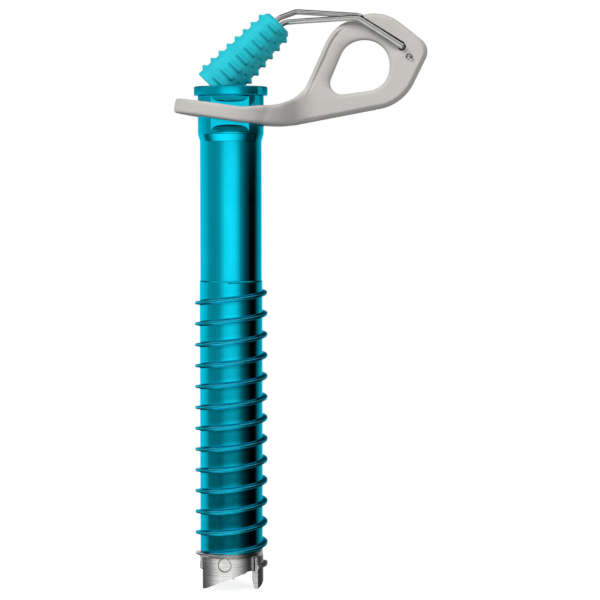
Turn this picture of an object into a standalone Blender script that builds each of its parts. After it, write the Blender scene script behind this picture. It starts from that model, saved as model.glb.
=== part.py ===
"""Ice climbing screw: threaded tube, toothed steel crown, tilting hanger and folding crank.

Units are metres, +Z up. The origin is on the tube's axis at the height of the tooth tips. The
hanger's eye lies towards +X. Angles about the tube count from the front (-Y) towards +X.
"""

from math import ceil, cos, pi, radians, sin, tan

import bmesh
import bpy
from mathutils import Matrix, Vector

MM = 0.001

# Clearances
GAP = 0.3 * MM
HANGER_PLAY = 0.45 * MM

# Screw body
SCREW_LENGTH = 160.0 * MM
TUBE_RADIUS = 9.8 * MM
WALL = 1.8 * MM
BORE_RADIUS = TUBE_RADIUS - WALL
TURN_STEPS = 28

# Ice thread
ROOT_RADIUS = TUBE_RADIUS + 0.2 * MM
THREAD_HEIGHT = 1.6 * MM
THREAD_BASE = 1.6 * MM
THREAD_CREST = 0.75 * MM
THREAD_PITCH = 6.7 * MM
THREAD_START_ANGLE = radians(57)
THREAD_TOP = SCREW_LENGTH - 61.8 * MM
THREAD_STEPS = 20
THREAD_FADE_TURNS = 0.5

# Neck under the flange, with a driving flat at the front and one at the back
NECK_RADIUS = TUBE_RADIUS + 0.67 * MM
NECK_LENGTH = 11.8 * MM
NECK_TAPER = 2.3 * MM
FLAT_DISTANCE = NECK_RADIUS - 1.89 * MM
FLAT_LENGTH = 7.0 * MM
FLAT_DROP = 1.9 * MM

# Flange collar and the mouth that the knob parks in
FLANGE_RADIUS = NECK_RADIUS + 1.23 * MM
FLANGE_THICKNESS = 2.9 * MM
COLLAR_BORE = TUBE_RADIUS - 0.1 * MM
MOUTH_RADIUS = FLANGE_RADIUS - 0.75 * MM

# Steel crown
CROWN_HEIGHT = 12.0 * MM
CROWN_RADIUS = ROOT_RADIUS + 0.2 * MM
TOOTH_COUNT = 3
FIRST_TIP_ANGLE = radians(-63)
RAMP_ANGLE = radians(86)
RAMP_RISE = 5.5 * MM
TOOTH_ANGLE = radians(99)
TOOTH_CORNER = 3.2 * MM
GULLET_TOP = CROWN_HEIGHT - 0.8 * MM
THREAD_START_Z = CROWN_HEIGHT - 5.13 * MM
TIP_BEVEL = 0.8 * MM
TIP_BEVEL_RISE = 3.0 * MM

# Joint between tube and crown
SPIGOT_RADIUS = BORE_RADIUS + 0.85 * MM
SPIGOT_BOTTOM = CROWN_HEIGHT - 6.1 * MM
PIN_RADIUS = 2.05 * MM
PIN_HEIGHT = CROWN_HEIGHT - 3.6 * MM
PIN_ANGLE = radians(-11)
PIN_RECESS = 0.25 * MM

# Hanger ring
RING_RADIUS = NECK_RADIUS + 7.53 * MM
RING_THICKNESS = 4.6 * MM
RING_TILT = radians(8.6)
RING_CHAMFER = 0.9 * MM
RING_RISE = 2.3 * MM
RING_RISE_FROM = 2.0 * MM
RING_RISE_TO = TUBE_RADIUS + 4.2 * MM
RING_END = TUBE_RADIUS + 3.6 * MM

# Hanger eye plate
PLATE_THICKNESS = 5.0 * MM
PLATE_BEVEL = 1.2 * MM
PLATE_BEVEL_DEPTH = 1.0 * MM
EYE_BEVEL = 1.2 * MM

# Crank wire
WIRE_RADIUS = 0.85 * MM
FRONT_END_POCKET = 1.3 * MM
LEG_SPACING = 2 * WIRE_RADIUS + GAP

# Knob that turns on the crank
GRIP_SLOPE = radians(45.4)
GRIP_LENGTH = 29.4 * MM
GRIP_RADIUS_SMALL = 4.95 * MM
GRIP_RADIUS_LARGE = GRIP_RADIUS_SMALL + 1.95 * MM
GRIP_END_CHAMFER = 0.8 * MM
STUD_HEIGHT = 0.75 * MM
STUD_ROWS = 8
STUD_COLUMNS = 4
STUD_BASE = 2.0 * MM
STUD_CREST = 0.6 * MM
STUD_ANGLE = radians(50)
STUD_FIRST = 2.6 * MM
STUD_PITCH = (GRIP_LENGTH - STUD_FIRST - 3.0 * MM) / (STUD_ROWS - 1)
WIRE_DEPTH_IN_GRIP = GRIP_LENGTH - 10.4 * MM
CORE_RADIUS = LEG_SPACING / 2 + WIRE_RADIUS + GAP + 0.85 * MM
CORE_HEAD_THICKNESS = 1.6 * MM
WASHER_RADIUS = GRIP_RADIUS_SMALL - 1.25 * MM
WASHER_THICKNESS = 0.9 * MM
CAP_RADIUS = GRIP_RADIUS_LARGE - 1.5 * MM
CORE_HEAD_RADIUS = CAP_RADIUS - 1.0 * MM
CAP_THICKNESS = 1.2 * MM
GRIP_STEPS = 32

# Heights and places that follow
FLANGE_UNDERSIDE = SCREW_LENGTH - FLANGE_THICKNESS
NECK_TOP = FLANGE_UNDERSIDE - GAP
NECK_BOTTOM = NECK_TOP - NECK_LENGTH
FLAT_CENTRE = FLANGE_UNDERSIDE - 5.7 * MM
GRIP_AXIS = Vector((-cos(GRIP_SLOPE), 0, -sin(GRIP_SLOPE)))
GRIP_END = Vector((TUBE_RADIUS - 15.1933 * MM, 0, SCREW_LENGTH - 0.7836 * MM))
GRIP_START = GRIP_END - GRIP_AXIS * GRIP_LENGTH
RING_CENTRE = Vector((0, 0, FLAT_CENTRE))
LEG_OFFSET = PLATE_THICKNESS / 2 + GAP + WIRE_RADIUS


def head(x, z):
    """Point of the hanger or crank, in millimetres from the tube's wall and the ring's height."""
    return Vector((TUBE_RADIUS + x * MM, 0, FLAT_CENTRE + z * MM))


PIVOT = head(46.7, 17.9)
FRONT_END = head(44.8, 21.8)


def clear_scene():
    for old in list(bpy.data.objects):
        bpy.data.objects.remove(old, do_unlink=True)


def material(name, colour, roughness, metallic):
    made = bpy.data.materials.new(name)
    made.use_nodes = True
    shader = made.node_tree.nodes["Principled BSDF"]
    shader.inputs["Base Color"].default_value = (*colour, 1.0)
    shader.inputs["Roughness"].default_value = roughness
    shader.inputs["Metallic"].default_value = metallic
    return made


def polar(radius, angle, height):
    """Point at an angle about the tube, counted from the front towards the right."""
    return Vector((radius * sin(angle), -radius * cos(angle), height))


def add_mesh(name, points, faces):
    mesh = bpy.data.meshes.new(name)
    mesh.from_pydata([tuple(point) for point in points], [], faces)
    work = bmesh.new()
    work.from_mesh(mesh)
    bmesh.ops.recalc_face_normals(work, faces=work.faces)
    work.to_mesh(mesh)
    work.free()
    made = bpy.data.objects.new(name, mesh)
    bpy.context.scene.collection.objects.link(made)
    return made


def loft(name, rings, closed=False, twisted=False):
    """Skin over rings of equally many points; open lofts get a face at each end.

    The quads of a twisted skin aren't flat, so each is split into two triangles.
    """
    count = len(rings[0])
    points = [point for ring in rings for point in ring]
    faces = []
    spans = len(rings) if closed else len(rings) - 1
    for row in range(spans):
        here = row * count
        there = (row + 1) % len(rings) * count
        for step in range(count):
            following = (step + 1) % count
            quad = (here + step, here + following, there + following, there + step)
            faces += [quad[:3], (quad[0], quad[2], quad[3])] if twisted else [quad]
    if not closed:
        faces.append(tuple(range(count)))
        faces.append(tuple(range((len(rings) - 1) * count, len(rings) * count)))
    return add_mesh(name, points, faces)


def turned(name, profile, steps=TURN_STEPS):
    """Solid of revolution from a closed profile of (radius, height) that stays off the axis."""
    rings = [[polar(radius, 2 * pi * step / steps, height) for radius, height in profile]
             for step in range(steps)]
    return loft(name, rings, closed=True)


def disc_stack(name, profile, steps=TURN_STEPS):
    """Solid without a bore: a stack of discs from (radius, height) pairs."""
    rings = [[polar(radius, 2 * pi * step / steps, height) for step in range(steps)]
             for radius, height in profile]
    return loft(name, rings)


def block(name, low, high):
    xs, ys, zs = zip(low, high)
    rings = [[Vector((xs[0], ys[0], z)), Vector((xs[1], ys[0], z)),
              Vector((xs[1], ys[1], z)), Vector((xs[0], ys[1], z))] for z in zs]
    return loft(name, rings)


def combine(target, tool, operation):
    """Apply one Boolean and delete the tool."""
    step = target.modifiers.new(operation.lower(), "BOOLEAN")
    step.operation = operation
    step.solver = "EXACT"
    step.object = tool
    bpy.context.view_layer.update()
    depsgraph = bpy.context.evaluated_depsgraph_get()
    result = bpy.data.meshes.new_from_object(target.evaluated_get(depsgraph))
    target.modifiers.clear()
    target.data = result
    bpy.data.objects.remove(tool, do_unlink=True)


def cut(target, tool):
    combine(target, tool, "DIFFERENCE")


def join(target, tool):
    combine(target, tool, "UNION")


def finish(made, look, origin=None):
    """Clean the mesh, give it its look and move its origin to its joint."""
    work = bmesh.new()
    work.from_mesh(made.data)
    bmesh.ops.remove_doubles(work, verts=work.verts, dist=0.000002)
    bmesh.ops.dissolve_degenerate(work, edges=work.edges, dist=0.000002)
    bmesh.ops.recalc_face_normals(work, faces=work.faces)
    work.to_mesh(made.data)
    work.free()
    made.data.materials.clear()
    made.data.materials.append(look)
    made.data.shade_smooth()
    made.data.set_sharp_from_angle(angle=radians(30))
    if origin is not None:
        made.data.transform(Matrix.Translation(-origin))
        made.location = origin
    return made


def fillet(corners, closed, step=radians(18)):
    """Points along a path whose corners, each (point, radius), are rounded to arcs."""
    places = [Vector(place) for place, _ in corners]
    path = []
    for index, (_, radius) in enumerate(corners):
        place = places[index]
        at_end = not closed and index in (0, len(corners) - 1)
        if at_end or radius == 0:
            path.append(place)
            continue
        back = (places[index - 1] - place).normalized()
        ahead = (places[(index + 1) % len(corners)] - place).normalized()
        half = back.angle(ahead) / 2
        bisector = (back + ahead).normalized()
        centre = place + bisector * radius / sin(half)
        first = place + back * radius / tan(half) - centre
        last = place + ahead * radius / tan(half) - centre
        sweep = pi - 2 * half
        count = max(1, ceil(sweep / step))
        for part in range(count + 1):
            share = part / count
            arm = first * sin((1 - share) * sweep) + last * sin(share * sweep)
            path.append(centre + arm / sin(sweep))
    return path


def grown(outline, distance):
    """An outline in the XZ plane moved outwards, or inwards where distance is negative."""
    area = sum(a.x * b.z - b.x * a.z for a, b in zip(outline, outline[1:] + outline[:1]))
    side = 1 if area > 0 else -1
    moved = []
    for index, point in enumerate(outline):
        before = (point - outline[index - 1]).normalized()
        after = (outline[(index + 1) % len(outline)] - point).normalized()
        along = (before + after).normalized()
        normal = Vector((along.z, 0, -along.x)) * side
        moved.append(point + normal * distance)
    return moved


def slab(name, outline, layers):
    """Solid from an XZ outline; each layer is (y, growth of the outline there)."""
    rings = [[point + Vector((0, y, 0)) for point in grown(outline, growth)] for y, growth in layers]
    return loft(name, rings)


def tube_along(name, path, radius, sides=8):
    """Round wire along a path, with domed ends."""
    rings = []
    normal = Vector((0, 0, 1)).cross(path[1] - path[0])
    if normal.length < 0.1 * (path[1] - path[0]).length:
        normal = Vector((1, 0, 0))
    for index, place in enumerate(path):
        before = (place - path[max(index - 1, 0)]).normalized()
        after = (path[min(index + 1, len(path) - 1)] - place).normalized()
        along = (before + after).normalized()
        normal = (normal - along * normal.dot(along)).normalized()
        other = along.cross(normal)
        sizes = [(0, radius)]
        if index == 0:
            sizes = [(-radius * 0.7, radius * 0.45), (-radius * 0.35, radius * 0.85), (0, radius)]
        if index == len(path) - 1:
            sizes = [(0, radius), (radius * 0.35, radius * 0.85), (radius * 0.7, radius * 0.45)]
        for shift, size in sizes:
            rings.append([place + along * shift
                          + (normal * cos(2 * pi * k / sides) + other * sin(2 * pi * k / sides)) * size
                          for k in range(sides)])
    return loft(name, rings)


def thread_ridge(name, first_turn, last_turn, fade_turns=0.0, start_turns=0.0):
    """Helical ridge between two turn counts, faded at its ends, its foot inside the wall."""
    foot = ROOT_RADIUS - 0.6 * MM
    count = round((last_turn - first_turn) * THREAD_STEPS)
    rings = []
    for step in range(count + 1):
        turn = first_turn + step / THREAD_STEPS
        share = 1.0
        if fade_turns and last_turn - turn < fade_turns:
            share = (last_turn - turn) / fade_turns
        if start_turns and turn - first_turn < start_turns:
            share = min(share, 0.35 + 0.65 * (turn - first_turn) / start_turns)
        angle = THREAD_START_ANGLE + 2 * pi * turn
        height = THREAD_START_Z + THREAD_PITCH * turn
        crest = ROOT_RADIUS - 0.15 * MM + (THREAD_HEIGHT + 0.15 * MM) * share
        shoulder = crest - THREAD_CREST * 0.35 * share
        rings.append([polar(foot, angle, height - THREAD_BASE / 2 - 0.2 * MM),
                      polar(shoulder, angle, height - THREAD_CREST * 0.75),
                      polar(crest, angle, height),
                      polar(shoulder, angle, height + THREAD_CREST * 0.75),
                      polar(foot, angle, height + THREAD_BASE / 2 + 0.2 * MM)])
    return loft(name, rings, twisted=True)


def thread_turns(height):
    return (height - THREAD_START_Z) / THREAD_PITCH


def flats_cutter():
    """Blocks outside both driving flats, kept off the cones that end the flats."""
    reach = 4 * MM
    half = FLAT_LENGTH / 2
    far = NECK_RADIUS + reach
    slope = FLAT_DROP / (NECK_RADIUS - FLAT_DISTANCE)
    inner = FLAT_DISTANCE - 0.2 * MM
    rise = (far - FLAT_DISTANCE) * slope
    start = half - 0.2 * MM * slope
    low = FLAT_CENTRE - half - rise - reach
    high = FLAT_CENTRE + half + rise + reach
    cutter = block("front_flat", (-far, -far, low + MM), (far, -FLAT_DISTANCE, high - MM))
    join(cutter, block("back_flat", (-far, FLAT_DISTANCE, low + MM), (far, far, high - MM)))
    cones = disc_stack("flat_cones", [(far, low), (far, FLAT_CENTRE - half - rise),
                                      (inner, FLAT_CENTRE - start), (inner, FLAT_CENTRE + start),
                                      (far, FLAT_CENTRE + half + rise), (far, high)], 48)
    cut(cutter, cones)
    return cutter


def sector(name, angles, radii, heights):
    """Wedge of a ring: angles, radii and heights each go from low to high."""
    count = max(1, ceil((angles[1] - angles[0]) / radians(12)))
    rings = []
    for step in range(count + 1):
        angle = angles[0] + (angles[1] - angles[0]) * step / count
        rings.append([polar(radii[0], angle, heights[0]), polar(radii[1], angle, heights[0]),
                      polar(radii[1], angle, heights[1]), polar(radii[0], angle, heights[1])])
    return loft(name, rings)


def pin_cylinder(name, index, radius, near, far):
    """Radial cylinder at one of the pin places."""
    angle = PIN_ANGLE + 2 * pi * index / TOOTH_COUNT
    outward = polar(1, angle, 0)
    sideways = Vector((0, 0, 1)).cross(outward)
    rings = []
    for distance in (near, far):
        centre = outward * distance + Vector((0, 0, PIN_HEIGHT))
        rings.append([centre + sideways * radius * cos(2 * pi * k / 20)
                      + Vector((0, 0, radius * sin(2 * pi * k / 20))) for k in range(20)])
    return loft(name, rings)


def screw_tube(look):
    lip = COLLAR_BORE - GAP
    profile = [(BORE_RADIUS, SPIGOT_BOTTOM),
               (SPIGOT_RADIUS, SPIGOT_BOTTOM),
               (SPIGOT_RADIUS, CROWN_HEIGHT + GAP / 2),
               (ROOT_RADIUS, CROWN_HEIGHT + GAP / 2),
               (ROOT_RADIUS, THREAD_TOP),
               (TUBE_RADIUS, THREAD_TOP + 0.4 * MM),
               (TUBE_RADIUS, NECK_BOTTOM - NECK_TAPER),
               (NECK_RADIUS, NECK_BOTTOM),
               (NECK_RADIUS, NECK_TOP),
               (lip, NECK_TOP),
               (lip, SCREW_LENGTH - (MOUTH_RADIUS - lip) - GAP),
               (lip - 0.4 * MM, SCREW_LENGTH - (MOUTH_RADIUS - lip) - GAP),
               (BORE_RADIUS, SCREW_LENGTH - (MOUTH_RADIUS - BORE_RADIUS))]
    tube = turned("screw_tube", profile)
    cut(tube, flats_cutter())
    for index in range(TOOTH_COUNT):
        cut(tube, pin_cylinder("pin_hole", index, PIN_RADIUS + GAP, BORE_RADIUS - MM, SPIGOT_RADIUS + 0.1 * MM))
        tip = FIRST_TIP_ANGLE + 2 * pi * index / TOOTH_COUNT
        pitch = 2 * pi / TOOTH_COUNT
        notch = sector("gullet_notch", (tip + radians(80), tip + pitch + radians(3)),
                       (BORE_RADIUS - MM, SPIGOT_RADIUS + 0.1 * MM),
                       (SPIGOT_BOTTOM - MM, CROWN_HEIGHT - 0.2 * MM))
        cut(tube, notch)
    last = thread_turns(THREAD_TOP - THREAD_CREST)
    ridge = thread_ridge("tube_thread", 0, last, fade_turns=THREAD_FADE_TURNS)
    wide = 2 * CROWN_RADIUS
    below = block("below_joint", (-wide, -wide, -wide), (wide, wide, CROWN_HEIGHT + GAP / 2 + 0.01 * MM))
    cut(ridge, below)
    join(tube, ridge)
    return finish(tube, look)


def head_collar(look):
    edge = 0.25 * MM
    profile = [(COLLAR_BORE, FLANGE_UNDERSIDE),
               (FLANGE_RADIUS - edge, FLANGE_UNDERSIDE),
               (FLANGE_RADIUS, FLANGE_UNDERSIDE + edge),
               (FLANGE_RADIUS, SCREW_LENGTH - edge),
               (FLANGE_RADIUS - edge, SCREW_LENGTH),
               (MOUTH_RADIUS, SCREW_LENGTH),
               (COLLAR_BORE, SCREW_LENGTH - (MOUTH_RADIUS - COLLAR_BORE))]
    return finish(turned("head_collar", profile, 48), look)


def tooth_spaces():
    """Ring-shaped cutter whose top edge is the outline of the teeth and gullets."""
    inner = BORE_RADIUS - MM
    outer = CROWN_RADIUS + THREAD_HEIGHT + MM
    pitch = 2 * pi / TOOTH_COUNT
    slot = (pitch - TOOTH_ANGLE) / 2
    round_height = slot * CROWN_RADIUS
    rings = []
    for index in range(TOOTH_COUNT):
        tip = FIRST_TIP_ANGLE + pitch * index
        columns = [(RAMP_ANGLE * part / 8, RAMP_RISE * part / 8) for part in range(9)]
        for part in range(1, 6):
            turn = pi / 2 * part / 5
            columns.append((RAMP_ANGLE + (TOOTH_ANGLE - RAMP_ANGLE) * sin(turn),
                            RAMP_RISE + TOOTH_CORNER * (1 - cos(turn))))
        for part in range(9):
            turn = pi - pi * part / 8
            across = TOOTH_ANGLE + slot + (slot - radians(0.4)) * cos(turn)
            columns.append((across, GULLET_TOP - round_height * (1 - sin(turn))))
        for shift, height in columns:
            angle = tip + shift
            rings.append([polar(inner, angle, -2 * MM), polar(outer, angle, -2 * MM),
                          polar(outer, angle, height), polar(inner, angle, height)])
    return loft("tooth_spaces", rings, closed=True, twisted=True)


def cutting_crown(look):
    top = CROWN_HEIGHT - GAP / 2
    profile = [(BORE_RADIUS, -MM), (CROWN_RADIUS, -MM), (CROWN_RADIUS, top - 1.5 * MM),
               (ROOT_RADIUS, top), (BORE_RADIUS, top)]
    crown = turned("cutting_crown", profile, 48)
    ridge = thread_ridge("crown_thread", 0, 1.25, start_turns=0.06)
    wide = 2 * CROWN_RADIUS
    cut(ridge, block("above_joint", (-wide, -wide, top - 0.01 * MM), (wide, wide, top + wide)))
    join(crown, ridge)
    cut(crown, tooth_spaces())
    socket = SPIGOT_BOTTOM - GAP
    cut(crown, disc_stack("crown_socket", [(SPIGOT_RADIUS + GAP, socket), (SPIGOT_RADIUS + GAP, top + MM)], 40))
    bevel = disc_stack("tip_bevel", [(BORE_RADIUS + 1.5 * TIP_BEVEL, -TIP_BEVEL_RISE / 2),
                                     (BORE_RADIUS - 0.1 * MM, TIP_BEVEL_RISE * 1.1)], 40)
    cut(crown, bevel)
    for index in range(TOOTH_COUNT):
        cut(crown, pin_cylinder("pin_hole", index, PIN_RADIUS + GAP, BORE_RADIUS - MM, CROWN_RADIUS + 3 * MM))
    return finish(crown, look)


def crown_pin(index, look):
    pin = pin_cylinder(f"crown_pin_{index + 1}", index, PIN_RADIUS,
                       BORE_RADIUS + 0.2 * MM, CROWN_RADIUS - PIN_RECESS)
    return finish(pin, look)


def plate_outline():
    """Outer edge of the eye plate, from the ring's bottom round the eye and back to its top."""
    corners = [((2.8, -3.5), 0), ((9.6, -3.8), 15), ((45.0, 3.0), 15), ((54.3, 21.0), 4.6),
               ((37.5, 34.3), 13.5), ((22.5, 27.3), 13.5), ((10.8, 1.2), 9.5), ((2.8, 1.6), 0)]
    return fillet([(head(x, z), radius * MM) for (x, z), radius in corners], closed=True)


def eye_outline():
    """Edge of the carabiner eye."""
    corners = [((19.6, 5.3), 3.6), ((40.7, 8.2), 7.6), ((40.6, 23.7), 7.7), ((27.1, 23.1), 7.6)]
    return fillet([(head(x, z), radius * MM) for (x, z), radius in corners], closed=True)


def hanger_ring():
    """Ring plate, thicker on top towards the throat, cut off where the throat takes over."""
    half = RING_THICKNESS / 2
    inner = FLAT_DISTANCE - 2 * MM
    section = [(inner, -half, 0), (RING_RADIUS - RING_CHAMFER, -half, 0),
               (RING_RADIUS, -half + RING_CHAMFER, 0), (RING_RADIUS, half - RING_CHAMFER, 1),
               (RING_RADIUS - RING_CHAMFER, half, 1), (inner, half, 1)]
    steps = 40
    rings = []
    for step in range(steps):
        outline = []
        for radius, height, rising in section:
            point = polar(radius, 2 * pi * step / steps, height)
            share = min(1, max(0, (point.x - RING_RISE_FROM) / (RING_RISE_TO - RING_RISE_FROM)))
            point.z += rising * RING_RISE * share * share * (3 - 2 * share)
            outline.append(point)
        rings.append(outline)
    ring = loft("ring", rings, closed=True, twisted=True)
    far = 2 * RING_RADIUS
    cut(ring, block("ring_end", (RING_END, -far, -far), (far, far, far)))
    ring.data.transform(Matrix.Rotation(RING_TILT, 4, "Y"))
    ring.data.transform(Matrix.Translation(RING_CENTRE))
    return ring


def ring_hole():
    """Hole for the neck: round, with a flat at the front and at the back."""
    radius = NECK_RADIUS + HANGER_PLAY + RING_THICKNESS / 2 * sin(RING_TILT)
    flat = FLAT_DISTANCE + HANGER_PLAY
    reach = RING_THICKNESS
    hole = disc_stack("hole", [(radius, -reach), (radius, reach)], 40)
    limit = block("hole_flats", (-2 * radius, -flat, -2 * reach), (2 * radius, flat, 2 * reach))
    combine(hole, limit, "INTERSECT")
    hole.data.transform(Matrix.Rotation(RING_TILT, 4, "Y"))
    hole.data.transform(Matrix.Translation(RING_CENTRE))
    return hole


def hanger_throat():
    """Sculpted stretch where the flat ring turns into the upright plate."""
    half = PLATE_THICKNESS / 2 / MM
    stations = [(2.1, 12.2, -3.7, 1.8), (5.2, 9.8, -3.8, 2.2), (8.2, 6.9, -3.6, 3.4),
                (11.2, 4.4, -3.2, 5.4), (14.7, half + 0.5, -2.4, 8.8), (18.2, half - 0.1, -1.6, 11.1)]
    rings = []
    for x, half_width, low, high in stations:
        edge = min(1.2, half_width * 0.4)
        outline = [(-half_width, low + edge), (-half_width + edge, low), (half_width - edge, low),
                   (half_width, low + edge), (half_width, high - edge), (half_width - edge, high),
                   (-half_width + edge, high), (-half_width, high - edge)]
        rings.append([head(x, z) + Vector((0, y * MM, 0)) for y, z in outline])
    return loft("throat", rings)


def hanger(look):
    half = PLATE_THICKNESS / 2
    flank = half - PLATE_BEVEL_DEPTH
    body = slab("hanger", plate_outline(), [(-half, -PLATE_BEVEL), (-flank, 0), (flank, 0), (half, -PLATE_BEVEL)])
    join(body, hanger_throat())
    join(body, hanger_ring())
    over = 0.2 * MM
    eye = slab("eye", eye_outline(), [(-half - over, EYE_BEVEL + over), (-half + EYE_BEVEL, 0),
                                      (half - EYE_BEVEL, 0), (half + over, EYE_BEVEL + over)])
    cut(body, eye)
    cut(body, ring_hole())
    pivot_radius = WIRE_RADIUS + GAP
    cut(body, cross_hole("pivot_hole", PIVOT, pivot_radius, -2 * half, 2 * half))
    cut(body, cross_hole("end_pocket", FRONT_END, FRONT_END_POCKET, -2 * half, -half + 1.5 * MM))
    return finish(body, look, RING_CENTRE)


def cross_hole(name, centre, radius, near, far):
    rings = [[centre + Vector((radius * cos(2 * pi * k / 16), y, radius * sin(2 * pi * k / 16)))
              for k in range(16)] for y in (near, far)]
    return loft(name, rings)


def wire_path():
    """From the pivot pin over the back leg, round the bend in the knob and along the front leg."""
    across = Vector((-sin(GRIP_SLOPE), 0, cos(GRIP_SLOPE))) * LEG_SPACING / 2
    upper = GRIP_START + across
    lower = GRIP_START - across
    inward = GRIP_AXIS * WIRE_DEPTH_IN_GRIP
    outward = GRIP_AXIS * -1.2 * MM
    bend = LEG_SPACING / 2 * 0.98
    y = LEG_OFFSET
    back = [(PIVOT + Vector((0, -y + 0.6 * MM, 0)), 0),
            (PIVOT + Vector((0, y, 0)), 1.3 * MM),
            (head(31.4, 31.6) + Vector((0, y, 0)), 4 * MM),
            (GRIP_START + Vector((5.55 * MM, 0.35 * y, 3.95 * MM)), 3.5 * MM),
            (upper + outward, 3.5 * MM)]
    turn = [(upper + inward, bend), (lower + inward, bend)]
    front = [(lower + outward, 3.5 * MM),
             (GRIP_START + Vector((6.55 * MM, -0.35 * y, 0.85 * MM)), 3.5 * MM),
             (head(30.6, 30.9) + Vector((0, -y, 0)), 4 * MM),
             (FRONT_END + Vector((0, -y, 0)), 0)]
    return fillet(back + turn + front, closed=False, step=radians(20))


def crank_wire(look):
    return finish(tube_along("crank_wire", wire_path(), WIRE_RADIUS), look, PIVOT)


def to_grip_axis(made):
    """Turn a piece that was built along +Z from the origin onto the knob's axis."""
    made.rotation_mode = "QUATERNION"
    made.rotation_quaternion = Vector((0, 0, 1)).rotation_difference(GRIP_AXIS)
    made.location = GRIP_START
    return made


def leg_slot(name, low, high):
    """Slot that the two wire legs lie in, built along +Z."""
    across = Vector((0, 0, 1)).rotation_difference(GRIP_AXIS).inverted() @ Vector((-sin(GRIP_SLOPE), 0, cos(GRIP_SLOPE)))
    reach = LEG_SPACING / 2
    radius = WIRE_RADIUS + GAP
    side = Vector((0, 0, 1)).cross(across)
    ring = []
    for centre, start in ((across * reach, 0), (-across * reach, pi)):
        for part in range(7):
            turn = start - pi / 2 + pi * part / 6
            ring.append(centre + across * radius * cos(turn) + side * radius * sin(turn))
    return loft(name, [[point + Vector((0, 0, z)) for point in ring] for z in (low, high)])


def grip_radius(distance):
    share = distance / GRIP_LENGTH
    return GRIP_RADIUS_SMALL + (GRIP_RADIUS_LARGE - GRIP_RADIUS_SMALL) * share


def stud(row, column):
    """One raised rib across the knob, a short arc with a narrow crest."""
    middle = STUD_FIRST + STUD_PITCH * row
    start = 2 * pi * column / STUD_COLUMNS - STUD_ANGLE / 2
    rings = []
    for part in range(4):
        angle = start + STUD_ANGLE * part / 3
        crest = grip_radius(middle) + STUD_HEIGHT
        rings.append([polar(grip_radius(middle) - 0.5 * MM, angle, middle - STUD_BASE / 2),
                      polar(crest, angle, middle - STUD_CREST / 2),
                      polar(crest, angle, middle + STUD_CREST / 2),
                      polar(grip_radius(middle) - 0.5 * MM, angle, middle + STUD_BASE / 2)])
    return loft("stud", rings)


def grip_sleeve(look):
    head_low = GRIP_LENGTH - CAP_THICKNESS - CORE_HEAD_THICKNESS - 3 * GAP
    cap_low = GRIP_LENGTH - CAP_THICKNESS - GAP
    washer_high = WASHER_THICKNESS + GAP
    chamfer = GRIP_END_CHAMFER
    profile = [(WASHER_RADIUS + GAP, 0),
               (grip_radius(0) - chamfer, 0),
               (grip_radius(chamfer), chamfer),
               (grip_radius(GRIP_LENGTH - chamfer / 2), GRIP_LENGTH - chamfer / 2),
               (grip_radius(GRIP_LENGTH) - chamfer / 2, GRIP_LENGTH),
               (CAP_RADIUS + GAP, GRIP_LENGTH),
               (CAP_RADIUS + GAP, cap_low),
               (CORE_HEAD_RADIUS + GAP, cap_low),
               (CORE_HEAD_RADIUS + GAP, head_low),
               (CORE_RADIUS + GAP, head_low),
               (CORE_RADIUS + GAP, washer_high),
               (WASHER_RADIUS + GAP, washer_high)]
    sleeve = turned("grip_sleeve", profile, GRIP_STEPS)
    for row in range(STUD_ROWS):
        for column in range(STUD_COLUMNS):
            join(sleeve, stud(row, column))
    return to_grip_axis(finish(sleeve, look))


def grip_core(look):
    head_low = GRIP_LENGTH - CAP_THICKNESS - CORE_HEAD_THICKNESS - 2 * GAP
    core = disc_stack("grip_core", [(CORE_RADIUS, WASHER_THICKNESS + 2 * GAP), (CORE_RADIUS, head_low),
                                    (CORE_HEAD_RADIUS, head_low),
                                    (CORE_HEAD_RADIUS, head_low + CORE_HEAD_THICKNESS)], GRIP_STEPS)
    depth = WIRE_DEPTH_IN_GRIP + WIRE_RADIUS + GAP
    cut(core, leg_slot("core_slot", -MM, depth))
    return to_grip_axis(finish(core, look))


def grip_washer(look):
    washer = disc_stack("grip_washer", [(WASHER_RADIUS, 0), (WASHER_RADIUS, WASHER_THICKNESS)], GRIP_STEPS)
    cut(washer, leg_slot("washer_slot", -MM, WASHER_THICKNESS + MM))
    return to_grip_axis(finish(washer, look))


def grip_end_cap(look):
    low = GRIP_LENGTH - CAP_THICKNESS
    cap = disc_stack("grip_end_cap", [(CAP_RADIUS, low), (CAP_RADIUS, GRIP_LENGTH - 0.3 * MM),
                                      (CAP_RADIUS - 0.3 * MM, GRIP_LENGTH)], GRIP_STEPS)
    return to_grip_axis(finish(cap, look))


def main():
    clear_scene()
    anodised = material("turquoise_anodised", (0.0, 0.48, 0.62), 0.22, 1.0)
    steel = material("bright_steel", (0.55, 0.55, 0.54), 0.35, 1.0)
    forged = material("blasted_aluminium", (0.62, 0.60, 0.57), 0.5, 1.0)
    spring = material("spring_wire", (0.50, 0.50, 0.50), 0.2, 1.0)
    plastic = material("turquoise_plastic", (0.03, 0.62, 0.70), 0.5, 0.0)
    screw_tube(anodised)
    head_collar(anodised)
    cutting_crown(steel)
    for index in range(TOOTH_COUNT):
        crown_pin(index, steel)
    hanger(forged)
    crank_wire(spring)
    grip_core(spring)
    grip_washer(spring)
    grip_sleeve(plastic)
    grip_end_cap(plastic)


main()
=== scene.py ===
"""Ice climbing screw, seen as in the photograph. Lengths below are in millimetres."""

from math import atan2, ceil, cos, hypot, pi, radians, sin, tan

import bmesh
import bpy
import numpy as np
from mathutils import Matrix, Vector


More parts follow.
